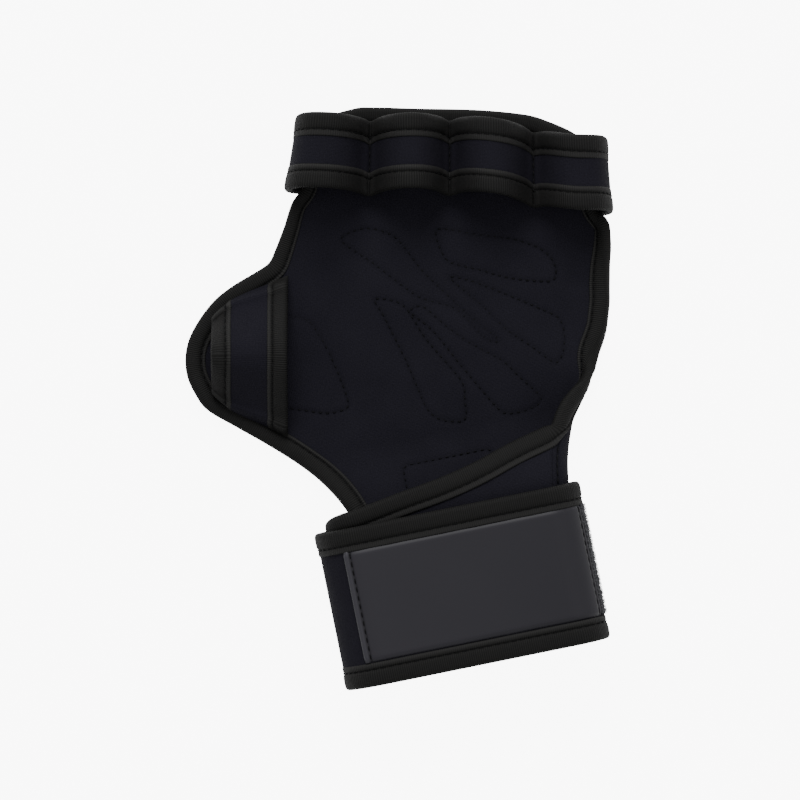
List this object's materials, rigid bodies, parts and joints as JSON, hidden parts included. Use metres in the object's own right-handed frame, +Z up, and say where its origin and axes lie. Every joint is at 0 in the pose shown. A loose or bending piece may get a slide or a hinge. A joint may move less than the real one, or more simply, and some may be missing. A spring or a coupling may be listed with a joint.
{
  "type": "open-back fitness glove",
  "caption": "Open-back fitness glove for the right hand: neoprene palm panel with finger loops, a thumb band, palm pads and a wrap-round hook-and-loop wrist strap.",
  "frame": {"origin": "middle of the bounding box at the surface that the glove lies on", "axes": "+Z up, away from that surface; +Y from the wrist towards the fingertips; +X towards the little finger"},
  "size_m": [0.1512, 0.2046, 0.0312],
  "materials": {
    "neoprene": "matte knit-faced foam cloth",
    "edge_tape": "ribbed woven binding",
    "patch_rubber": "smooth satin",
    "loop_pile": "fuzzy loop pile",
    "hook_tape": "fine hooks on woven tape",
    "grip_pad": "grained synthetic leather"
  },
  "bodies": {
    "root": {"palm_panel": "neoprene", "wrist_strap": "neoprene", "finger_band": "neoprene", "thumb_band": "neoprene", "palm_binding": "edge_tape", "heel_binding": "edge_tape", "strap_binding_upper": "edge_tape", "strap_binding_lower": "edge_tape", "finger_binding_front": "edge_tape", "finger_binding_rear": "edge_tape", "thumb_binding_outer": "edge_tape", "thumb_binding_inner": "edge_tape", "strap_patch": "patch_rubber", "strap_loop_pile": "loop_pile", "strap_hook_tab": "hook_tape", "grip_pad_1": "grip_pad", "grip_pad_2": "grip_pad", "grip_pad_3": "grip_pad", "grip_pad_4": "grip_pad", "grip_pad_5": "grip_pad", "thumb_pad": "grip_pad", "heel_pad": "grip_pad"}
  },
  "joints": []
}
